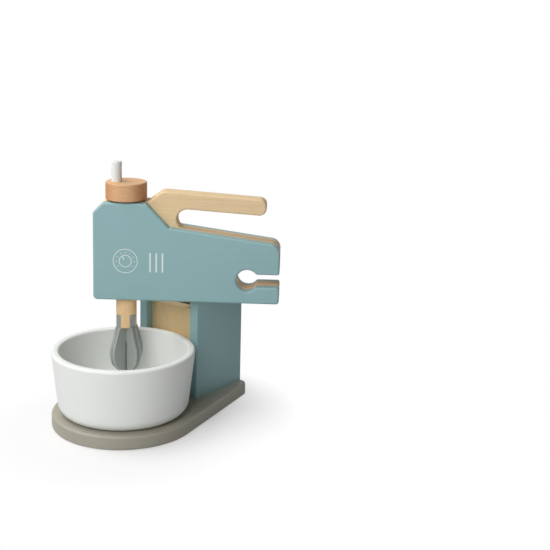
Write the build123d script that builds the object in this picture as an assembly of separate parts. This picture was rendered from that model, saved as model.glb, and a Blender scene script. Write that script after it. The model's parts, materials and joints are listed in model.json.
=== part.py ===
"""Wooden toy hand mixer over a bowl, on a stand with a hollow column.

Millimetres, +Z up.  The origin is on the floor, under the centre of the base's round
front end.  +X runs from the bowl to the column.  The mixer lies across the stand: it
rests on the right side panel of the column, with its whisk in the bowl.
"""
from build123d import *
import math
import os

# ---------------------------------------------------------------- driving dimensions
# base plate
BASE_R = 61.2            # radius of the round front end
BASE_T = 11.6            # thickness
BASE_TAPER = 10.6        # degrees that each side leans in towards the rear
BASE_REAR_GAP = 2.0      # base standing out behind the column
BASE_CORNER_R = 8.0      # the two rear corners
BASE_EDGE_R = 2.0        # rounding of the plate's edges

# bowl
BOWL_R = 60.2            # outer radius near the rim
BOWL_H = 54.3            # height over the base
BOWL_WALL = 6.4          # wall thickness
BOWL_FLOOR = 7.5         # floor thickness
BOWL_LEAN = 6.6          # degrees that the wall leans out
BOWL_FOOT_R = 10.0       # rounding at the bottom of the outside
BOWL_LIP_OUT = 2.4       # outer rounding of the rim
BOWL_LIP_IN = 2.0        # inner rounding of the rim
BOWL_X = -1.6            # bowl axis, ahead of the base's centre

# column
PANEL_T = 8.6            # side panels
PANEL_L = 62.6           # side panels, front to rear
PANEL_TOP = 89.7         # side panels, height over the base
COLUMN_W = 66.7          # across the outer faces of the side panels
COLUMN_GAP = 0.5         # from the bowl to the side panels' nearest corners
BOARD_T = 8.8            # front and rear boards
BOARD_INSET = 7.0        # boards set back from the side panels' edges
FRONT_BOARD_H = 78.0     # front board, height over the base
PANEL_EDGE_R = 1.1       # rounding of the side panels' edges
BOARD_EDGE_R = 0.8       # rounding of the boards' top edges

# mixer: three layers, seen from the side
LIFT_GAP = 0.3           # mixer over the side panel that it rests on
PLATE_T = 6.8            # painted side plates
CORE_T = 15.0            # bare middle board, which is also the handle
MIXER_TURN = -55.2       # degrees, from +X to the mixer's tail
WHISK_AROUND = 39.5      # degrees from +X to the whisk, round the bowl's axis
WHISK_GAP = 3.3          # from the whisk's widest corner to the bowl's wall
NOSE = 26.3              # front edge, ahead of the whisk's axis
TAIL = 131.2             # rear edge, behind the whisk's axis
HEAD_H = 84.0            # top over underside
TOP_BACK = 18.6          # rear end of the flat top, behind the whisk's axis
BROW_BACK = 37.6         # where the steep slope meets the shallow one
BROW_DROP = 20.4         # that corner, under the flat top
TAIL_DROP = 12.6         # top of the tail, under that corner
NOSE_CHAMFER = 8.6       # cut corner of the top front
NOSE_SOFT_R = 3.0        # rounding of that cut's ends
CHIN_R = 3.6             # lower front corner
TAIL_TOP_R = 8.5         # upper rear corner
TAIL_LOW_R = 2.5         # lower rear corner
PLATE_EDGE_R = 1.7       # rounding of the plates' outer edges

# keyhole in the tail
KEY_R = 9.3              # round hole
KEY_BACK = 104.1         # its centre, behind the whisk's axis
KEY_H = 20.1             # its centre, over the underside
KEY_SLOT = 10.8          # width of the slot
KEY_SOFT_R = 1.8         # rounding where the slot meets the hole and the rear edge

# handle
GRIP_H = 14.1            # height of the bar
GRIP_FALL = 3.4          # degrees that the bar falls towards its end
GRIP_END = 119.0         # end of the bar, behind the whisk's axis
GRIP_END_R = 6.0         # rounding of the bar's end
GRIP_RISE = 38.0         # degrees of the handle's front edge
GRIP_BEND_R = 8.0        # bend from that edge to the bar's top
GAP_R = 8.7              # round front end of the finger gap
GAP_BACK = 52.5          # its centre, behind the whisk's axis
GAP_DIP = 0.6            # how far that round end cuts under the shallow slope
GRIP_EDGE_R = 1.8        # rounding of the handle's edges

# crank and whisk
SHAFT_R = 4.0            # dowel through the mixer
SHAFT_IN_KNOB = 6.5      # its depth in the knob
KNOB_R = 17.5
KNOB_H = 15.0
KNOB_EDGE_R = 1.2
PEG_R = 4.3
PEG_H = 17.2             # peg over the knob
PEG_FLOOR = 1.5          # knob's wood between the peg's end and the shaft's
PEG_EDGE_R = 0.8
PEG_OUT = 8.0            # peg's axis from the knob's axis
PEG_TURN = 135.0         # degrees from +X
WASHER_R = 9.0
WASHER_T = 1.0
HUB_R = 8.75
HUB_L = 25.4             # hub below its washer
HUB_BORE = 11.0          # depth of the shaft in the hub
TAB_H = 11.3             # height of the blades' tabs in the hub
BLADE_T = 6.0
BLADE_TURN = -8.0        # degrees from +X to the first blade
BLADE_L = 43.0           # blades below the hub
BLADE_NECK = 9.8         # half widths of a blade, from the hub down
BLADE_WIDE = 16.0
BLADE_TIP = 4.2
BLADE_WIDE_DROP = 25.0   # from the hub to the widest place
BLADE_BULGE = 9.0        # half the height of the round widest place
BLADE_LAP = 29.0         # height of the second blade's lap slot, from its lower end
LAP_GAP = 0.9            # play on each side of that slot

# fixings
DOWEL_R = 3.0
DOWEL_L = 18.0
DOWEL_DEPTH = 5.5        # of each column dowel, in the side panel
DOWEL_IN = 14.0          # column dowels from the boards' ends
MIXER_DOWEL_L = 22.6     # through the core and into both plates
MIXER_DOWELS = ((-15.0, 16.0), (-15.0, HEAD_H - 18.0), (60.0, 32.0), (86.0, 46.0))
SCREW_R = 1.8
SCREW_L = 34.0
SCREW_HEAD_R = 3.8
SCREW_HEAD_H = 2.6
SCREW_SINK = 0.8         # screw heads under the base's underside
SCREW_IN = 22.0          # screws from the panels' front and rear edges

# clearances
GLUE_GAP = 0.05          # between glued pieces: a dowel in its hole, a tab in its slot
RUN_GAP = 0.06           # radial, between the turning shaft and its bore
FACE_GAP = 0.15          # between a turning washer and the mixer

# ---------------------------------------------------------------- derived sizes
HALF_W = COLUMN_W / 2
HALF_IN = HALF_W - PANEL_T                       # half the width between the panels
BOWL_AT = Pos(BOWL_X, 0, BASE_T)
PANEL_X0 = BOWL_X + math.sqrt((BOWL_R + COLUMN_GAP) ** 2 - HALF_IN ** 2)
PANEL_X1 = PANEL_X0 + PANEL_L
BASE_X1 = PANEL_X1 + BASE_REAR_GAP
FRONT_X = PANEL_X0 + BOARD_INSET                 # front face of the front board
REAR_X = PANEL_X1 - BOARD_INSET - BOARD_T        # front face of the rear board
COLUMN_TOP = BASE_T + PANEL_TOP
MIXER_Z = COLUMN_TOP + LIFT_GAP                  # underside of the mixer
MIXER_TOP = MIXER_Z + HEAD_H
KNOB_Z = MIXER_TOP + FACE_GAP + WASHER_T         # underside of the knob
KNOB_TOP = KNOB_Z + KNOB_H
PEG_Z = KNOB_Z + SHAFT_IN_KNOB + PEG_FLOOR       # lower end of the crank peg
HUB_TOP = MIXER_Z - FACE_GAP - WASHER_T
HUB_Z = HUB_TOP - HUB_L                          # underside of the hub
BROW_H = HEAD_H - BROW_DROP
TAIL_H = BROW_H - TAIL_DROP
SHALLOW = math.atan2(BROW_H - TAIL_H, TAIL - BROW_BACK)
FALL = math.radians(GRIP_FALL)

LEAN = math.tan(math.radians(BOWL_LEAN))         # of the bowl's wall, outwards per height
WIDE_DEPTH = BASE_T + BOWL_H - HUB_Z + BLADE_WIDE_DROP   # the blades' widest place, under the rim
WALL_AT_WIDE = BOWL_R - BOWL_WALL - WIDE_DEPTH * LEAN     # inner radius of the bowl there
WHISK_OUT = WALL_AT_WIDE - WHISK_GAP - math.hypot(BLADE_WIDE, BLADE_T / 2)
WHISK_X = BOWL_X + WHISK_OUT * math.cos(math.radians(WHISK_AROUND))
WHISK_Y = WHISK_OUT * math.sin(math.radians(WHISK_AROUND))
WHISK_AXIS = Pos(WHISK_X, WHISK_Y, 0)
TURN = math.radians(MIXER_TURN)
# the mixer's own plane: x towards the tail, y up from the underside, z to the printed side
MIXER_PLANE = Plane(
    origin=(WHISK_X, WHISK_Y, MIXER_Z),
    x_dir=(math.cos(TURN), math.sin(TURN), 0),
    z_dir=(math.sin(TURN), -math.cos(TURN), 0),
)


def rod(radius, z0, z1):
    """Upright cylinder on the Z axis, from z0 to z1."""
    return Pos(0, 0, (z0 + z1) / 2) * Cylinder(radius, z1 - z0)


def block(x0, x1, y0, y1, z0, z1):
    """Box between two corners."""
    centre = Pos((x0 + x1) / 2, (y0 + y1) / 2, (z0 + z1) / 2)
    return centre * Box(x1 - x0, y1 - y0, z1 - z0)


def around_column(x, y):
    """The four places at x and its mirror along the column, y and its mirror."""
    middle = (PANEL_X0 + PANEL_X1) / 2
    return [(middle + sx * (middle - x), sy * y) for sx in (-1, 1) for sy in (-1, 1)]


# ---------------------------------------------------------------- stand
SCREW_PLACES = around_column(PANEL_X0 + SCREW_IN, (HALF_W + HALF_IN) / 2)


def screw(grow=0.0):
    """Countersunk wood screw, from below; grow widens it into its own hole."""
    cone = Pos(0, 0, SCREW_SINK + SCREW_HEAD_H / 2) * Cone(
        SCREW_HEAD_R + grow, SCREW_R + grow, SCREW_HEAD_H)
    return cone + rod(SCREW_R + grow, SCREW_SINK + SCREW_HEAD_H, SCREW_SINK + SCREW_L + grow)


def screw_hole():
    """Space for one screw, open at the base's underside."""
    return screw(GLUE_GAP) + rod(SCREW_HEAD_R + GLUE_GAP, -1, SCREW_SINK)


def base_plate():
    """Round at the front, with straight sides that lean in to a square rear."""
    lean = math.radians(BASE_TAPER)
    touch_x = BASE_R * math.sin(lean)
    touch_y = BASE_R * math.cos(lean)
    rear_y = touch_y - (BASE_X1 - touch_x) * math.tan(lean)
    wedge = make_face(Polyline(
        (touch_x, touch_y), (BASE_X1, rear_y), (BASE_X1, -rear_y), (touch_x, -touch_y),
        close=True))
    outline = Circle(BASE_R) + wedge
    rear = outline.vertices().filter_by(lambda v: abs(v.X - BASE_X1) < 0.01)
    plate = extrude(fillet(rear, BASE_CORNER_R), BASE_T)
    rims = plate.edges().filter_by(lambda e: abs(e.bounding_box().size.Z) < 0.01)
    plate = fillet(rims, BASE_EDGE_R)
    for x, y in SCREW_PLACES:
        plate -= Pos(x, y, 0) * screw_hole()
    return plate


def base_screws():
    """One wood screw up into each end of each side panel."""
    return [Pos(x, y, 0) * screw() for x, y in SCREW_PLACES]


def board_dowel_places():
    """Side, x, and z of each dowel between a board and a side panel."""
    boards = ((FRONT_X, FRONT_BOARD_H), (REAR_X, PANEL_TOP))
    return [(side, x + BOARD_T / 2, BASE_T + z)
            for side in (-1, 1)
            for x, height in boards
            for z in (DOWEL_IN, height - DOWEL_IN)]


def board_dowel(side, x, z, grow=0.0):
    """Dowel along Y, partly in the side panel and partly in the board's end."""
    length = DOWEL_L + 2 * grow
    y = side * (HALF_IN + DOWEL_DEPTH - DOWEL_L / 2)
    return Pos(x, y, z) * Rot(90, 0, 0) * Cylinder(DOWEL_R + grow, length)


def column_dowels():
    """The plain dowels that hold the boards between the side panels."""
    return [board_dowel(*place) for place in board_dowel_places()]


def column_panel(side):
    """Side panel of the column; side is 1 for the left one, -1 for the right one."""
    near, far = sorted((side * HALF_IN, side * HALF_W))
    panel = block(PANEL_X0, PANEL_X1, near, far, BASE_T, COLUMN_TOP)
    shown = panel.edges().filter_by(lambda e: e.center().Z > BASE_T + 1)
    panel = fillet(shown, PANEL_EDGE_R)
    for place in board_dowel_places():
        panel -= board_dowel(*place, grow=GLUE_GAP)
    for x, y in SCREW_PLACES:
        panel -= Pos(x, y, 0) * screw(GLUE_GAP)
    return panel


def column_board(x, height):
    """Board between the side panels, with its front face at x."""
    board = block(x, x + BOARD_T, -HALF_IN, HALF_IN, BASE_T, BASE_T + height)
    top = board.faces().sort_by(Axis.Z)[-1]
    board = fillet(top.edges().filter_by(Axis.Y), BOARD_EDGE_R)
    for place in board_dowel_places():
        board -= board_dowel(*place, grow=GLUE_GAP)
    return board


# ---------------------------------------------------------------- bowl
def bowl():
    """Turned bowl with a leaning wall, a rounded foot and a rounded lip."""
    foot = BOWL_R - BOWL_H * LEAN
    inner_rim = BOWL_R - BOWL_WALL
    inner_foot = inner_rim - (BOWL_H - BOWL_FLOOR) * LEAN
    outside = [(0, 0), (foot, 0), (BOWL_R, BOWL_H)]
    inside = [(inner_rim, BOWL_H), (inner_foot, BOWL_FLOOR), (0, BOWL_FLOOR)]
    profile = make_face(Polyline(*outside, *inside, close=True))
    for (x, y), radius in (
        (outside[1], BOWL_FOOT_R),
        (outside[2], BOWL_LIP_OUT),
        (inside[0], BOWL_LIP_IN),
        (inside[1], BOWL_FOOT_R),
    ):
        corner = profile.vertices().sort_by_distance((x, y, 0))[0]
        profile = fillet(corner, radius)
    return BOWL_AT * revolve(Rot(90, 0, 0) * profile, Axis.Z)


# ---------------------------------------------------------------- mixer
def slope_height(back):
    """Height of the shallow slope over the underside, at a place behind the whisk."""
    return BROW_H - (back - BROW_BACK) * math.tan(SHALLOW)


def rounded(outline, corners):
    """Outline with the corner nearest to each given point rounded by its radius."""
    for x, y, radius in corners:
        corner = outline.vertices().sort_by_distance((x, y, 0))[0]
        outline = fillet(corner, radius)
    return outline


def keyhole():
    """Round hole with a slot out of the rear edge, as one face to cut away."""
    slot_end = TAIL + KEY_R
    slot = Pos((KEY_BACK + slot_end) / 2, KEY_H) * Rectangle(slot_end - KEY_BACK, KEY_SLOT)
    return Pos(KEY_BACK, KEY_H) * Circle(KEY_R) + slot


def head_outline():
    """Side view of the mixer without its handle."""
    outline = make_face(Polyline(
        (-NOSE, 0), (TAIL, 0), (TAIL, TAIL_H), (BROW_BACK, BROW_H), (TOP_BACK, HEAD_H),
        (NOSE_CHAMFER - NOSE, HEAD_H), (-NOSE, HEAD_H - NOSE_CHAMFER), close=True))
    outline = rounded(outline, (
        (-NOSE, 0, CHIN_R),
        (TAIL, 0, TAIL_LOW_R),
        (TAIL, TAIL_H, TAIL_TOP_R),
        (NOSE_CHAMFER - NOSE, HEAD_H, NOSE_SOFT_R),
        (-NOSE, HEAD_H - NOSE_CHAMFER, NOSE_SOFT_R),
    ))
    outline -= keyhole()
    meet = KEY_BACK + math.sqrt(KEY_R ** 2 - (KEY_SLOT / 2) ** 2)
    return rounded(outline, [
        (x, KEY_H + side * KEY_SLOT / 2, KEY_SOFT_R) for x in (meet, TAIL) for side in (-1, 1)])


def grip_outline():
    """Side view of the handle, which overlaps the head's outline at its root."""
    gap_h = slope_height(GAP_BACK) + (GAP_R - GAP_DIP) / math.cos(SHALLOW)
    under = gap_h + GAP_R / math.cos(FALL)
    top = under + GRIP_H / math.cos(FALL)

    def bar(height, back):
        return (back, height - (back - GAP_BACK) * math.tan(FALL))

    rise = math.tan(math.radians(GRIP_RISE))
    bend = (top + GAP_BACK * math.tan(FALL) - HEAD_H + TOP_BACK * rise) / (rise + math.tan(FALL))
    end_back = GRIP_END
    inside = (BROW_BACK, BROW_H / 2)
    outline = make_face(Polyline(
        (TOP_BACK, HEAD_H), bar(top, bend), bar(top, end_back), bar(under, end_back),
        bar(under, GAP_BACK), (GAP_BACK, BROW_H / 2), inside, close=True))
    outline -= Pos(GAP_BACK, gap_h) * Circle(GAP_R)
    return rounded(outline, (
        (*bar(top, bend), GRIP_BEND_R),
        (*bar(top, end_back), GRIP_END_R),
        (*bar(under, end_back), GRIP_END_R),
    ))


def mixer_plate(side):
    """Painted side plate; side is 1 for the printed one, -1 for the plain one."""
    plate = extrude(head_outline(), PLATE_T)
    outer = plate.faces().sort_by(Axis.Z)[-1]
    plate = fillet(outer.edges(), PLATE_EDGE_R)
    if side < 0:
        plate = mirror(plate, Plane.XY)
    plate = Pos(0, 0, side * CORE_T / 2) * plate
    for back, height in MIXER_DOWELS:
        plate -= Pos(back, height, 0) * mixer_dowel(GLUE_GAP)
    return MIXER_PLANE.location * plate


def mixer_dowel(grow=0.0):
    """Dowel across the three layers, in the mixer's own plane."""
    return Cylinder(DOWEL_R + grow, MIXER_DOWEL_L + 2 * grow)


def mixer_dowels():
    """The hidden dowels that pin the three layers together."""
    return [MIXER_PLANE.location * Pos(back, height, 0) * mixer_dowel()
            for back, height in MIXER_DOWELS]


def mixer_core():
    """Middle board: the head's outline and the handle, with the shaft's bore."""
    core = extrude(head_outline() + grip_outline(), CORE_T / 2, both=True)
    outline_faces = core.faces().filter_by(Axis.Z)
    edges = ShapeList(e for face in outline_faces for e in face.edges())
    grip = edges.filter_by(
        lambda e: e.center().X > TOP_BACK and e.center().Y > slope_height(e.center().X) + 1
        and e.center().Y > HEAD_H - (e.center().X - TOP_BACK) + 1)
    core = fillet(grip, GRIP_EDGE_R)
    for back, height in MIXER_DOWELS:
        core -= Pos(back, height, 0) * mixer_dowel(GLUE_GAP)
    core = MIXER_PLANE.location * core
    return core - WHISK_AXIS * rod(SHAFT_R + RUN_GAP, MIXER_Z - 1, MIXER_TOP + 1)


# ---------------------------------------------------------------- crank and whisk
def drive_shaft():
    """Dowel from the knob, through the mixer, into the whisk's hub."""
    return WHISK_AXIS * rod(SHAFT_R, HUB_TOP - HUB_BORE, KNOB_Z + SHAFT_IN_KNOB)


def shaft_socket(z0, z1):
    """Glued hole for the shaft, between two heights."""
    return WHISK_AXIS * rod(SHAFT_R + GLUE_GAP, z0, z1)


def washer(z):
    """Thin ring on the shaft, with its underside at z."""
    return WHISK_AXIS * rod(WASHER_R, z, z + WASHER_T) - shaft_socket(z - 1, z + WASHER_T + 1)


def peg_axis():
    """Place of the crank peg over the knob's axis."""
    turn = math.radians(PEG_TURN)
    return WHISK_AXIS * Pos(PEG_OUT * math.cos(turn), PEG_OUT * math.sin(turn), 0)


def crank_knob():
    """Round knob on the shaft, with a hole for the crank peg."""
    knob = rod(KNOB_R, KNOB_Z, KNOB_TOP)
    knob = WHISK_AXIS * fillet(knob.edges().filter_by(GeomType.CIRCLE), KNOB_EDGE_R)
    knob -= shaft_socket(KNOB_Z - 1, KNOB_Z + SHAFT_IN_KNOB + GLUE_GAP)
    return knob - peg_axis() * rod(PEG_R + GLUE_GAP, PEG_Z - GLUE_GAP, KNOB_TOP + 1)


def crank_peg():
    """Upright peg that turns the whisk."""
    peg = rod(PEG_R, PEG_Z, KNOB_TOP + PEG_H)
    top = peg.edges().filter_by(GeomType.CIRCLE).sort_by(Axis.Z)[-1]
    return peg_axis() * fillet(top, PEG_EDGE_R)


def blade_outline():
    """Side view of one whisk blade, tab and all; y is 0 at the hub's underside."""
    wide = (BLADE_WIDE, -BLADE_WIDE_DROP)
    flank = math.atan2(BLADE_WIDE - BLADE_NECK, BLADE_WIDE_DROP)
    upper = (BLADE_WIDE - BLADE_BULGE * math.tan(flank) / 2, BLADE_BULGE - BLADE_WIDE_DROP)
    lower = (BLADE_WIDE - BLADE_BULGE / 3, -BLADE_BULGE - BLADE_WIDE_DROP)
    right = Polyline((0, TAB_H), (HUB_R, TAB_H), (HUB_R, 0), (BLADE_NECK, 0), upper)
    bulge = ThreePointArc(upper, wide, lower)
    tip = Polyline(lower, (BLADE_TIP, -BLADE_L), (0, -BLADE_L), (0, TAB_H))
    half = make_face(right + bulge + tip)
    return half + mirror(half, Plane.YZ)


def whisk_blade(order):
    """One of the two crossing blades; order is 0 or 1, and they lap halfway."""
    outline = blade_outline()
    slot_w = BLADE_T + 2 * (GLUE_GAP, LAP_GAP)[order]
    split = BLADE_LAP - BLADE_L
    low, high = ((split - GLUE_GAP, TAB_H + 1), (-BLADE_L - 1, split + GLUE_GAP))[order]
    slot = Pos(0, (low + high) / 2) * Rectangle(slot_w, high - low)
    blade = extrude(outline - slot, BLADE_T / 2, both=True)
    return WHISK_AXIS * Rot(0, 0, BLADE_TURN + 90 * order) * Pos(0, 0, HUB_Z) * Rot(90, 0, 0) * blade


def whisk_hub():
    """Round hub under the mixer, with the shaft's hole and crossed slots for the blades."""
    hub = WHISK_AXIS * rod(HUB_R, HUB_Z, HUB_TOP)
    hub -= shaft_socket(HUB_TOP - HUB_BORE - GLUE_GAP, HUB_TOP + 1)
    half_slot = BLADE_T / 2 + GLUE_GAP
    cut = block(-2 * HUB_R, 2 * HUB_R, -half_slot, half_slot, HUB_Z - 1, HUB_Z + TAB_H + GLUE_GAP)
    for turn in (BLADE_TURN, BLADE_TURN + 90):
        hub -= WHISK_AXIS * Rot(0, 0, turn) * cut
    return hub


# ---------------------------------------------------------------- all pieces, by name
def pieces():
    """Every sub-part by its node's name."""
    return {
        "base_plate": base_plate(),
        "base_screws": base_screws(),
        "column_panel_left": column_panel(1),
        "column_panel_right": column_panel(-1),
        "column_board_front": column_board(FRONT_X, FRONT_BOARD_H),
        "column_board_rear": column_board(REAR_X, PANEL_TOP),
        "column_dowels": column_dowels(),
        "bowl": bowl(),
        "mixer_plate_printed": mixer_plate(1),
        "mixer_plate_plain": mixer_plate(-1),
        "mixer_core": mixer_core(),
        "mixer_dowels": mixer_dowels(),
        "drive_shaft": drive_shaft(),
        "crank_knob": crank_knob(),
        "crank_peg": crank_peg(),
        "knob_washer": washer(MIXER_TOP + FACE_GAP),
        "hub_washer": washer(HUB_TOP),
        "whisk_hub": whisk_hub(),
        "whisk_blade_first": whisk_blade(0),
        "whisk_blade_second": whisk_blade(1),
    }


os.makedirs("parts", exist_ok=True)
for name, shape in pieces().items():
    solids = shape if isinstance(shape, list) else shape.solids()
    solids = [solid for item in solids for solid in item.solids()]
    result = solids[0] if len(solids) == 1 else Compound(children=solids)
    export_step(result, f"parts/{name}.step")
    print(name, len(solids), round(sum(solid.volume for solid in solids)))
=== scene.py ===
"""Looks for the wooden toy mixer: paints, woods, print, camera and light."""
import json
import math

import bmesh
import bpy
from mathutils import Matrix, Vector


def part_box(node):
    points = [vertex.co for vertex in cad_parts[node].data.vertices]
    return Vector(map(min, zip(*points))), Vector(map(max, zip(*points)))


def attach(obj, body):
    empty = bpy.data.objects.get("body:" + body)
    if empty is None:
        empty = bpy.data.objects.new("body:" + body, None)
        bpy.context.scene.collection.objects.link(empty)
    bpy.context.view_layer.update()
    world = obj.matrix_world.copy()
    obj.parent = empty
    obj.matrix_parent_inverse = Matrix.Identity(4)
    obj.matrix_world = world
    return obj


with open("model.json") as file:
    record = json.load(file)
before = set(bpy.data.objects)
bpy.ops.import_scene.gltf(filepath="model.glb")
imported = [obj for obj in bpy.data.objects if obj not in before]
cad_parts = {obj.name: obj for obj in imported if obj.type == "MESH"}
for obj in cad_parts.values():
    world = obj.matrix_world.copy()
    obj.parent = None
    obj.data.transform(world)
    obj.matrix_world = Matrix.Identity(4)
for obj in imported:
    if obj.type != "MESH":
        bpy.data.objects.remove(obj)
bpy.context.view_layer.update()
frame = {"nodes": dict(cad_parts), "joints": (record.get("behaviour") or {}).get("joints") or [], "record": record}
NODES = frame["nodes"]
MM = 0.001

# ------------------------------------------------------------ places, from the frame
JOINTS = {joint["name"]: joint for joint in frame["joints"]}
MOUNTS = {mount["name"]: mount for mount in frame["record"]["mounts"]}
WHISK = Vector(JOINTS["whisk_turn"]["pos_m"])            # on the whisk's upright axis
OUT = Vector(MOUNTS["keyhole"]["axis"]).normalized()     # from the mixer to the printed side
BACK = Vector((-OUT.y, OUT.x, 0))                        # along the mixer, to its tail
MIXER_TURN = math.atan2(BACK.y, BACK.x)
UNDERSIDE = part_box("mixer_plate_printed")[0].z
FACE_OUT = max(                                          # the printed face, from the whisk's axis
    (vertex.co - WHISK).dot(OUT) for vertex in NODES["mixer_plate_printed"].data.vertices)
HUB_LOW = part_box("whisk_hub")[0].z


# ------------------------------------------------------------ colours
def linear(red, green, blue):
    """Linear colour of an sRGB colour given in steps of 255."""
    def one(step):
        part = step / 255
        return part / 12.92 if part <= 0.04045 else ((part + 0.055) / 1.055) ** 2.4
    return (one(red), one(green), one(blue), 1.0)


def toned(colour, factor):
    """Linear colour made lighter or darker."""
    return tuple(min(1.0, channel * factor) for channel in colour[:3]) + (1.0,)


PLAIN = (1.0, 1.0, 1.0, 1.0)
BLUE = linear(145, 182, 185)
# The column's copy of the blue paint, darker as painted shade.
SHADED_COLUMN_BLUE = toned(BLUE, 0.93)
GREY = linear(162, 158, 144)
WHITE = linear(238, 240, 237)
PEG = linear(231, 235, 232)
LIME = linear(226, 198, 150)
PALE_LIME = linear(241, 211, 166)
BEECH = linear(225, 177, 129)
BEECH_ENDS = (0.82, 0.66, 0.56, 1.0)     # beech is toned by this where its grain is cut across
DOWEL = linear(252, 210, 158)
WHISK_GREY = linear(161, 166, 162)
WASHER = linear(96, 98, 98)
ZINC = linear(200, 200, 200)
INK = linear(226, 236, 236)

# ------------------------------------------------------------ nodes of a material or world
UPRIGHT = None                           # grain along Z; flat grain is an angle from +X
WAVE_PERIOD = math.pi / 10               # of Blender's saw wave at scale 1
RING_WAVER = 2.4
MIX_SOCKETS = {"FLOAT": (2, 3, 0), "RGBA": (6, 7, 2)}    # inputs A and B, and the result


class Nodes:
    """Adds and joins the nodes of one material or world."""

    def __init__(self, owner):
        owner.use_nodes = True
        self.owner = owner
        self.tree = owner.node_tree
        self.shader = self.tree.nodes.get("Principled BSDF")     # a world has none

    def feed(self, socket, value):
        """Joins an input to its source, or sets its value."""
        if isinstance(value, bpy.types.NodeSocket):
            self.tree.links.new(value, socket)
        else:
            socket.default_value = value

    def fill(self, node, *first, **named):
        """Feeds a node's inputs: the first ones in order, and others by name, with _ for a
        space."""
        for socket, value in zip(node.inputs, first):
            self.feed(socket, value)
        for name, value in named.items():
            self.feed(node.inputs[name.replace("_", " ")], value)
        return node

    def add(self, kind, *first, **named):
        """New node with its inputs filled; names in small letters are its settings."""
        node = self.tree.nodes.new("ShaderNode" + kind)
        settings = [name for name in named if name.islower()]
        for name in settings:
            setattr(node, name, named.pop(name))
        return self.fill(node, *first, **named)

    def give(self, **inputs):
        """Fills the surface's inputs and returns the material."""
        self.fill(self.shader, **inputs)
        return self.owner

    # -------------------------------------------------------- numbers and directions
    def number(self, operation, *values):
        """Number worked out from others."""
        return self.add("Math", *values, operation=operation).outputs[0]

    def between(self, value, low, high, start=0.0, end=1.0):
        """Low where the value is at start, high where it is at end, and level past them."""
        return self.add("MapRange", value, From_Min=start, From_Max=end, To_Min=low,
                        To_Max=high).outputs["Result"]

    def length_along(self, vector, direction):
        """How long a vector is along a direction, with no sign."""
        dot = self.add("VectorMath", vector, direction, operation="DOT_PRODUCT")
        return self.number("ABSOLUTE", dot.outputs["Value"])

    def facing(self, direction):
        """1 where the surface faces along a direction or against it, and 0 beside it."""
        return self.length_along(self.add("TexCoord").outputs["Normal"], direction)

    def distance(self, start, end):
        return self.add("VectorMath", start, end, operation="DISTANCE").outputs["Value"]

    def seen(self):
        """1 to the camera and in reflections, and 0 for the light that falls on things."""
        rays = self.add("LightPath").outputs
        return self.number("MAXIMUM", rays["Is Camera Ray"], rays["Is Glossy Ray"])

    # -------------------------------------------------------- places and patterns
    def place(self):
        return self.add("TexCoord").outputs["Object"]

    def parts(self, vector):
        """X, Y and Z of a vector."""
        return self.add("SeparateXYZ", vector).outputs

    def point(self, *parts):
        return self.add("CombineXYZ", *parts).outputs[0]

    def along_grain(self, grain=UPRIGHT, pith=(0, 0, 0)):
        """Object coordinates with the grain brought to Z, about the tree's pith."""
        place = self.place()
        if grain is not UPRIGHT:
            turned = self.parts(self.add("Mapping", place, Rotation=(0, 0, -grain)).outputs[0])
            place = self.point(turned["Y"], turned["Z"], turned["X"])
        return self.add("Mapping", place, Location=pith).outputs[0]

    def scaled(self, vector, across, along):
        return self.add("Mapping", vector, Scale=(across, across, along)).outputs[0]

    def noise(self, vector, scale, detail, roughness=0.5):
        return self.add("TexNoise", vector, Scale=scale, Detail=detail,
                        Roughness=roughness).outputs["Fac"]

    def streaks(self, vector, scales, detail, roughness=0.5):
        """Noise with a scale across the grain and another along it."""
        return self.noise(self.scaled(vector, *scales), 1.0, detail, roughness)

    def rings(self, vector, spacing):
        """Growth rings round Z, as far apart as spacing in metres."""
        return self.add("TexWave", vector, wave_type="RINGS", rings_direction="Z",
                        wave_profile="SAW", Scale=WAVE_PERIOD / spacing, Distortion=RING_WAVER,
                        Detail=3.0, Detail_Scale=1.4).outputs["Fac"]

    # -------------------------------------------------------- colours and relief
    def ramp(self, value, *stops):
        """Colour ramp over (place, colour) stops."""
        node = self.add("ValToRGB", value)
        while len(node.color_ramp.elements) < len(stops):
            node.color_ramp.elements.new(0.5)
        for element, (place, colour) in zip(node.color_ramp.elements, stops):
            element.position = place
            element.color = colour
        return node.outputs["Color"]

    def shades(self, value, colour, *stops):
        """Ramp over (place, factor) stops, each the colour made lighter or darker."""
        return self.ramp(value, *[(place, toned(colour, factor)) for place, factor in stops])

    def mixed(self, kind, factor, first, second, **settings):
        """Mix of two numbers, FLOAT, or of two colours, RGBA."""
        node = self.add("Mix", factor, data_type=kind, **settings)
        *inputs, result = MIX_SOCKETS[kind]
        for index, value in zip(inputs, (first, second)):
            self.feed(node.inputs[index], value)
        return node.outputs[result]

    def product(self, *colours):
        result = colours[0]
        for colour in colours[1:]:
            result = self.mixed("RGBA", 1.0, result, colour, blend_type="MULTIPLY")
        return result

    def bump(self, height, depth, over=None):
        """Normals bumped by a height, on top of other normals where there are any."""
        under = {} if over is None else {"Normal": over}
        return self.add("Bump", Height=height, Distance=depth, **under).outputs["Normal"]


def coat(name):
    return Nodes(bpy.data.materials.new(name))
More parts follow.
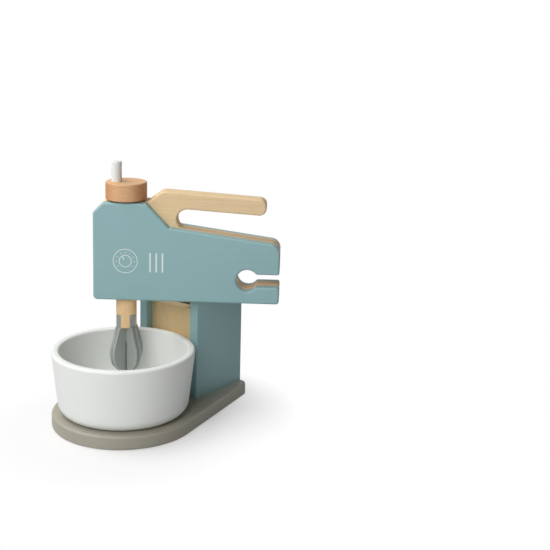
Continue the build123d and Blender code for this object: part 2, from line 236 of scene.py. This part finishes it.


# ------------------------------------------------------------ the whisk's blades: painted highlight and shade, and ply
BLADES = ("whisk_blade_first", "whisk_blade_second")
BLADE_TURN = math.radians(-8)            # of the first blade, from +X
BLADE_EDGE = 0.60 * MM                   # width of the sanded edges
EDGE_STEPS = 3                           # across a sanded edge
SHARP = math.radians(40)                 # corners over this angle are sanded
PLY_IN, PLY_OUT = 0.7 * MM, 1.6 * MM     # ends of the middle ply's fade, from mid-thickness
PLY_AND_SHADE_TONES = (0.84, 0.60)                 # of the first blade and the second; the second's is darker, as painted shade
ARRIS_HIGHLIGHT_TONE = 1.45                         # painted highlight on the arrises
HIGHLIGHT_BY_EDGE = (0.05, 0.35)              # the highlight starts and is full, going from the edge, which faces 0, and from the blade's face, which faces 1
HIGHLIGHT_BY_FACE = (0.99, 0.85)              # faces 0, and from the blade's face, which faces 1
LAP_DROP = 14.0 * MM                     # top of the half lap, under the hub
# Painted shade in the half lap's gap, where one blade runs in the other's slot.
SEAM_IN, SEAM_OUT = 4.1 * MM, 4.9 * MM   # ends of the painted shade's fade, from the whisk's axis
SEAM_SHADE_TONE = 0.48
SOFT_TOP = 0.5 * MM                      # half the height over which a tone ends
WELD_REACH = 0.001 * MM                  # closer points are one, so that edges can be sanded


def only_below(make, tone, top):
    """The tone below a height, and white above it."""
    above = make.between(make.parts(make.place())["Z"], 0.0, 1.0, top - SOFT_TOP, top + SOFT_TOP)
    return make.number("MAXIMUM", tone, above)


def middle_ply_and_shade(make, across, tone):
    """Tone that is darker on the middle ply, which only a blade's edge shows; the tone given
    for the second blade adds painted shade.
    """
    offset = make.add("VectorMath", make.place(), WHISK, operation="SUBTRACT").outputs[0]
    depth = make.length_along(offset, across)
    return only_below(make, make.between(depth, tone, 1.0, PLY_IN, PLY_OUT), HUB_LOW)


def painted_arris_highlight(make, across):
    """Painted highlight: tone that is lighter on the rounded arris between a blade's face and its edge."""
    facing = make.facing(across)
    arris = make.number("MULTIPLY", make.between(facing, 0.0, 1.0, *HIGHLIGHT_BY_EDGE),
                        make.between(facing, 0.0, 1.0, *HIGHLIGHT_BY_FACE))
    return make.between(arris, 1.0, ARRIS_HIGHLIGHT_TONE)


def painted_lap_shade(make):
    """Painted shade: tone that is dark close to the whisk's axis, in the gap where one blade
    runs in the other's slot.
    """
    place = make.place()
    axis = make.point(WHISK.x, WHISK.y, make.parts(place)["Z"])
    seam = make.between(make.distance(place, axis), SEAM_SHADE_TONE, 1.0, SEAM_IN, SEAM_OUT)
    return only_below(make, seam, HUB_LOW - LAP_DROP)


# ------------------------------------------------------------ materials
# Scales of the noises, per metre.  Where there are two, across the grain and along it.
PAINT_CLOUD, PAINT_PEEL, PAINT_STREAK = 30, 1300, (300, 9)
WOOD_BROAD, WOOD_FIBRE, WOOD_PORE = (26, 4), (1100, 26), (1700, 150)
RING_STRETCH = (1.0, 0.10)               # the rings change little along the grain
LACQUER_CLOUD, LACQUER_PEEL = 40, 900
ZINC_CLOUD = 500

# Depths of the bumps.
PAINT_PEEL_DEPTH, PAINT_GRAIN_DEPTH, BLADE_GRAIN_DEPTH = 0.005 * MM, 0.015 * MM, 0.03 * MM
FIBRE_DEPTH, PORE_DEPTH = 0.03 * MM, 0.02 * MM
LACQUER_DEPTH, ZINC_DEPTH = 0.006 * MM, 0.01 * MM

# Angles of flat grain from +X, in radians.
BASE_GRAIN = 0.0
KNOB_GRAIN = -1.0

WOOD_ROUGH = 0.56
ZINC_ROUGH = 0.35


def paint(name, colour, grain=UPRIGHT, rough=0.46, depth=PAINT_GRAIN_DEPTH, blade=None):
    """Satin paint on sanded wood: faint mottle, and grain that shows through a little.  With
    a blade's direction across its plies and the middle ply's tone, it takes a painted highlight on
    the arrises, is darker on that ply, with painted shade added on the second blade, and takes
    painted shade in the half lap's gap."""
    make = coat(name)
    place = make.along_grain(grain)
    cloud = make.noise(place, PAINT_CLOUD, detail=3)
    streak = make.streaks(place, PAINT_STREAK, detail=5, roughness=0.6)
    peel = make.noise(place, PAINT_PEEL, detail=2)
    tones = [make.shades(cloud, colour, (0.28, 0.975), (0.72, 1.02)),
             make.shades(streak, PLAIN, (0.30, 0.972), (0.60, 1.0))]
    if blade is not None:
        across, ply_and_shade_tone = blade
        # painted shade in the half lap, the ply's tone with painted shade on the second blade, painted highlight
        # on the arrises
        tones += [painted_lap_shade(make), middle_ply_and_shade(make, across, ply_and_shade_tone), painted_arris_highlight(make, across)]
    return make.give(Base_Color=make.product(*tones),
                     Roughness=make.between(cloud, rough - 0.05, rough + 0.07),
                     Normal=make.bump(peel, PAINT_PEEL_DEPTH, make.bump(streak, depth)))


def wood(name, colour, grain, pith, ring, contrast, pores=0.5, ends=None):
    """Bare sanded wood: growth rings, broad tone, fine fibre and short pores.  With a tone
    for its ends, flat grain takes it where it is cut across."""
    make = coat(name)
    place = make.along_grain(grain, pith)
    rings = make.rings(make.scaled(place, *RING_STRETCH), ring)
    broad = make.streaks(place, WOOD_BROAD, detail=3)
    fibre = make.streaks(place, WOOD_FIBRE, detail=5, roughness=0.6)
    pore = make.streaks(place, WOOD_PORE, detail=2)
    tones = [make.shades(broad, colour, (0.30, 0.94), (0.70, 1.05)),
             make.shades(rings, PLAIN, (0.0, 1 - contrast), (0.55, 1.0),
                         (0.93, 1 - 0.35 * contrast), (1.0, 1 - contrast)),
             make.shades(fibre, PLAIN, (0.30, 0.90), (0.58, 1.0)),
             make.shades(pore, PLAIN, (0.31, 1 - 0.30 * pores), (0.39, 1.0))]
    if ends is not None:
        cut = make.facing((math.cos(grain), math.sin(grain), 0))
        tones.append(make.ramp(cut, (0.40, PLAIN), (0.80, ends)))
    return make.give(Base_Color=make.product(*tones),
                     Roughness=make.between(fibre, WOOD_ROUGH - 0.06, WOOD_ROUGH + 0.08),
                     Normal=make.bump(pore, PORE_DEPTH, make.bump(fibre, FIBRE_DEPTH)))


def lacquer(name, colour, rough, shine=0.5):
    """Smooth opaque lacquer on a turned piece, with a faint mottle."""
    make = coat(name)
    place = make.along_grain()
    cloud = make.noise(place, LACQUER_CLOUD, detail=3)
    peel = make.noise(place, LACQUER_PEEL, detail=2)
    return make.give(Base_Color=make.shades(cloud, colour, (0.28, 0.985), (0.72, 1.01)),
                     Roughness=make.between(cloud, rough - 0.04, rough + 0.06),
                     Normal=make.bump(peel, LACQUER_DEPTH), Specular_IOR_Level=shine)


def metal(name, colour):
    """Zinc-plated steel."""
    make = coat(name)
    cloud = make.noise(make.along_grain(), ZINC_CLOUD, detail=4)
    return make.give(Base_Color=make.shades(cloud, colour, (0.3, 0.8), (0.7, 1.0)),
                     Roughness=ZINC_ROUGH, Normal=make.bump(cloud, ZINC_DEPTH), Metallic=1.0)


def dress(material, *names):
    """Gives CAD nodes a material."""
    for name in names:
        NODES[name].data.materials.clear()
        NODES[name].data.materials.append(material)


dress(paint("blue_paint_mixer", BLUE, MIXER_TURN), "mixer_plate_printed", "mixer_plate_plain")
# Column panels: the blue paint darkened, as painted shade.
dress(paint("blue_paint_column_shaded", SHADED_COLUMN_BLUE), "column_panel_left", "column_panel_right")
dress(paint("grey_paint_base", GREY, BASE_GRAIN, rough=0.5), "base_plate")
for order, name in enumerate(BLADES):
    turn = BLADE_TURN + order * math.pi / 2
    across = (-math.sin(turn), math.cos(turn), 0)
    # each blade's ply tone; the second's also holds painted shade
    dress(paint("grey_paint_" + name, WHISK_GREY, rough=0.5, depth=BLADE_GRAIN_DEPTH,
                blade=(across, PLY_AND_SHADE_TONES[order])), name)
dress(lacquer("white_bowl", WHITE, rough=0.5, shine=0.3), "bowl")
dress(lacquer("white_peg", PEG, rough=0.45), "crank_peg")
dress(wood("lime_core", PALE_LIME, MIXER_TURN, pith=(0.05, 0.09, 0), ring=4.5 * MM,
           contrast=0.035), "mixer_core")
dress(wood("lime_boards", LIME, UPRIGHT, pith=(0.06, 0.02, 0), ring=5.0 * MM, contrast=0.06),
      "column_board_front", "column_board_rear")
dress(wood("beech_knob", BEECH, KNOB_GRAIN, pith=(0.03, -0.14, 0), ring=3.5 * MM,
           contrast=0.05, pores=0.7, ends=BEECH_ENDS), "crank_knob")
dress(wood("beech_dowels", DOWEL, UPRIGHT, pith=(-0.05, 0.01, 0), ring=3.5 * MM, contrast=0.04),
      "whisk_hub", "drive_shaft", "column_dowels", "mixer_dowels")
dress(lacquer("grey_washer", WASHER, rough=0.55), "knob_washer", "hub_washer")
dress(metal("zinc", ZINC), "base_screws")

# ------------------------------------------------------------ the blades' sanded edges
for name in BLADES:
    weld = NODES[name].modifiers.new("weld", "WELD")
    weld.merge_threshold = WELD_REACH
    soft = NODES[name].modifiers.new("soft_edges", "BEVEL")
    soft.width = BLADE_EDGE
    soft.segments = EDGE_STEPS
    soft.limit_method = "ANGLE"
    soft.angle_limit = SHARP
    soft.harden_normals = True

# ------------------------------------------------------------ print on the mixer's face
INK_LOW = 0.02 * MM         # underside of the ink, over the painted face
INK_HIGH = 0.09 * MM        # its top
INK_REACH = 0.0001 * MM     # closer points are one
INK_COAT = paint("print_ink", INK, rough=0.5)

# In mm: back is behind the whisk's axis, height is over the mixer's underside.
BARS = (22.2, 27.4, 32.6)   # places of the three bars
BAR_WIDTH = 1.42
BAR_CUT = BAR_WIDTH / 5     # at the corners
BAR_LOW, BAR_HIGH = 25.2, 42.0
DIAL_BACK, DIAL_HEIGHT = 1.2, 34.4
DIAL_LINE = 0.62
DIAL_RING, DIAL_KNOB = 10.5, 5.4         # outer radii
RING_STEPS, KNOB_STEPS = 96, 64
POINTER_IN, POINTER_OUT, POINTER_WIDTH = 1.6, 5.0, 0.9
POINTER_TURN = math.radians(-35)         # from upright
TICKS = 9
TICK_IN, TICK_OUT, TICK_WIDTH = 7.0, 8.3, 0.55
TICK_SWEEP = math.radians(250)


def on_face(back, height, out):
    """Point over the printed face, out in metres."""
    place = WHISK + BACK * (back * MM) + OUT * (FACE_OUT + out)
    return Vector((place.x, place.y, UNDERSIDE + height * MM))


def printed(name, outlines, joined=False):
    """Thin ink on the face: each outline is a closed list of (back, height) points.  Joined
    outlines are the four-sided pieces of a ring, with no wall where they meet."""
    ink = bmesh.new()
    for points in outlines:
        low = [ink.verts.new(on_face(*point, INK_LOW)) for point in points]
        high = [ink.verts.new(on_face(*point, INK_HIGH)) for point in points]
        ink.faces.new(high)
        ink.faces.new(low[::-1])
        for index in range(0, len(points), 2 if joined else 1):
            after = (index + 1) % len(points)
            ink.faces.new((low[index], low[after], high[after], high[index]))
    bmesh.ops.remove_doubles(ink, verts=ink.verts, dist=INK_REACH)
    bmesh.ops.recalc_face_normals(ink, faces=ink.faces)
    mesh = bpy.data.meshes.new(name)
    ink.to_mesh(mesh)
    ink.free()
    piece = bpy.data.objects.new(name, mesh)
    bpy.context.scene.collection.objects.link(piece)
    mesh.materials.append(INK_COAT)
    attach(piece, "mixer")


def bar(back):
    """Outline of an upright bar with small cut corners."""
    left, right = back - BAR_WIDTH / 2, back + BAR_WIDTH / 2
    return [(left, BAR_LOW + BAR_CUT), (left + BAR_CUT, BAR_LOW), (right - BAR_CUT, BAR_LOW),
            (right, BAR_LOW + BAR_CUT), (right, BAR_HIGH - BAR_CUT), (right - BAR_CUT, BAR_HIGH),
            (left + BAR_CUT, BAR_HIGH), (left, BAR_HIGH - BAR_CUT)]


def on_dial(turn, away, aside=0.0):
    """Point away from the dial's centre at a turn from upright, and aside from that line."""
    return (DIAL_BACK + away * math.sin(turn) + aside * math.cos(turn),
            DIAL_HEIGHT + away * math.cos(turn) - aside * math.sin(turn))


def circle(radius, steps):
    """Outlines of the short pieces of a line that goes round the dial's centre."""
    turns = [math.tau * step / steps for step in range(steps + 1)]
    return [[on_dial(start, radius), on_dial(end, radius),
             on_dial(end, radius - DIAL_LINE), on_dial(start, radius - DIAL_LINE)]
            for start, end in zip(turns, turns[1:])]


def spoke(turn, inner, outer, width):
    """Outline of a short line that points away from the dial's centre."""
    half = width / 2
    return [on_dial(turn, away, aside)
            for away, aside in ((inner, -half), (inner, half), (outer, half), (outer, -half))]


for number, back in enumerate(BARS, 1):
    printed(f"print_bar_{number}", [bar(back)])
printed("print_dial_ring", circle(DIAL_RING, RING_STEPS), joined=True)
printed("print_dial_knob", circle(DIAL_KNOB, KNOB_STEPS), joined=True)
printed("print_dial_pointer", [spoke(POINTER_TURN, POINTER_IN, POINTER_OUT, POINTER_WIDTH)])
printed("print_dial_ticks", [
    spoke(TICK_SWEEP * (step / (TICKS - 1) - 0.5), TICK_IN, TICK_OUT, TICK_WIDTH)
    for step in range(TICKS)])

# ------------------------------------------------------------ camera
CAMERA_PLACE = (-657.8 * MM, -627.2 * MM, 375.3 * MM)
CAMERA_YAW = math.radians(35.88)      # from +X, about +Z
CAMERA_PITCH = math.radians(11.31)    # down
CAMERA_ROLL = math.radians(-1.44)
FRAME_PIXELS = 550                    # width and height of the image
FOCAL_PIXELS = 1124.7
AXIS_ROW = 199.7                      # image row of the camera's axis
SENSOR = 36.0                         # in mm

ahead = Vector((math.cos(CAMERA_YAW) * math.cos(CAMERA_PITCH),
                math.sin(CAMERA_YAW) * math.cos(CAMERA_PITCH), -math.sin(CAMERA_PITCH)))
level = Vector((math.sin(CAMERA_YAW), -math.cos(CAMERA_YAW), 0))
below = ahead.cross(level)
right = math.cos(CAMERA_ROLL) * level + math.sin(CAMERA_ROLL) * below
down = -math.sin(CAMERA_ROLL) * level + math.cos(CAMERA_ROLL) * below
camera = bpy.data.objects.new("camera", bpy.data.cameras.new("camera"))
bpy.context.scene.collection.objects.link(camera)
camera.matrix_world = Matrix.Translation(CAMERA_PLACE) @ Matrix(
    (right, -down, -ahead)).transposed().to_4x4()
camera.data.sensor_width = SENSOR
camera.data.lens = FOCAL_PIXELS * SENSOR / FRAME_PIXELS
camera.data.shift_y = (AXIS_ROW - FRAME_PIXELS / 2) / FRAME_PIXELS
bpy.context.scene.camera = camera

# ------------------------------------------------------------ floor, world and lamps
FLOOR_SIZE = 14                       # in metres, as are the other lengths here
FLOOR_ROUGH = 0.9
FLOOR_BOUNCE = 0.70                   # how much light the floor gives back to the object
FLOOR_SHADE = 0.62                    # near the object, how much of its light the camera sees
# Near the object even lit floor stays a little grey, a painted shade.
FLOOR_GLOW = 0.31                     # and how much it glows; far away it only glows, white
FLOOR_NEAR, FLOOR_FAR = 0.038, 0.112  # ends of that fade, from the line under the object
SHADOW_X = (-0.020, 0.048)            # ends of that line
SHADOW_Y = -0.008
AMBIENT = 0.03
LAMP_AIM = Vector((0.02, 0.0, 0.1))
LAMP_DISTANCE = 1.1


def floor_coat():
    """White floor: to the camera and in reflections it takes a soft shadow near the object,
    over a little painted shade there, and is plain white away from it."""
    make = coat("floor_white")
    parts = make.parts(make.place())
    nearest = make.add("Clamp", parts["X"], *SHADOW_X).outputs[0]
    away = make.distance(make.point(parts["X"], parts["Y"]), make.point(nearest, SHADOW_Y))
    shade = make.between(away, FLOOR_SHADE, 0.0, FLOOR_NEAR, FLOOR_FAR)
    light = make.between(away, FLOOR_GLOW, 1.0, FLOOR_NEAR, FLOOR_FAR)
    seen = make.seen()
    white = make.mixed("FLOAT", seen, FLOOR_BOUNCE, shade)
    strength = make.number("MULTIPLY", seen, light)
    glow = make.add("Emission", Strength=strength)
    both = make.add("AddShader", make.shader.outputs[0], glow.outputs[0])
    make.fill(make.tree.nodes["Material Output"], Surface=both.outputs[0])
    return make.give(Base_Color=white, Roughness=FLOOR_ROUGH, Specular_IOR_Level=0.0)


def lay_floor():
    """Floor, which is no part of the object."""
    bpy.ops.mesh.primitive_plane_add(size=FLOOR_SIZE, location=(0, 0, 0))
    floor = bpy.context.object
    floor.name = "floor"
    floor.data.materials.append(floor_coat())


def surround():
    """World that is white to the camera and in reflections, and otherwise almost dark."""
    world = bpy.data.worlds.new("studio")
    bpy.context.scene.world = world
    make = Nodes(world)
    dim = make.fill(make.tree.nodes["Background"], Color=PLAIN, Strength=AMBIENT)
    white = make.add("Background", Color=PLAIN, Strength=1.0)
    both = make.add("MixShader", make.seen(), dim.outputs[0], white.outputs[0])
    make.fill(make.tree.nodes["World Output"], Surface=both.outputs[0])


def lamp(name, azimuth, elevation, size, watts):
    """Square soft light aimed at the object; azimuth is from +X about +Z."""
    data = bpy.data.lights.new(name, "AREA")
    data.size = size
    data.energy = watts
    item = bpy.data.objects.new(name, data)
    bpy.context.scene.collection.objects.link(item)
    turn, lift = math.radians(azimuth), math.radians(elevation)
    item.location = LAMP_AIM + LAMP_DISTANCE * Vector(
        (math.cos(turn) * math.cos(lift), math.sin(turn) * math.cos(lift), math.sin(lift)))
    item.rotation_euler = (LAMP_AIM - item.location).to_track_quat("-Z", "Y").to_euler()


lay_floor()
surround()
lamp("top_left", 120, 62, 0.6, 7.3)
lamp("low_left", 155, 30, 0.6, 1.65)
lamp("key", 194, 38, 0.65, 5.6)
lamp("front", 215, 15, 0.6, 1.5)
bpy.context.scene.view_settings.view_transform = "Standard"
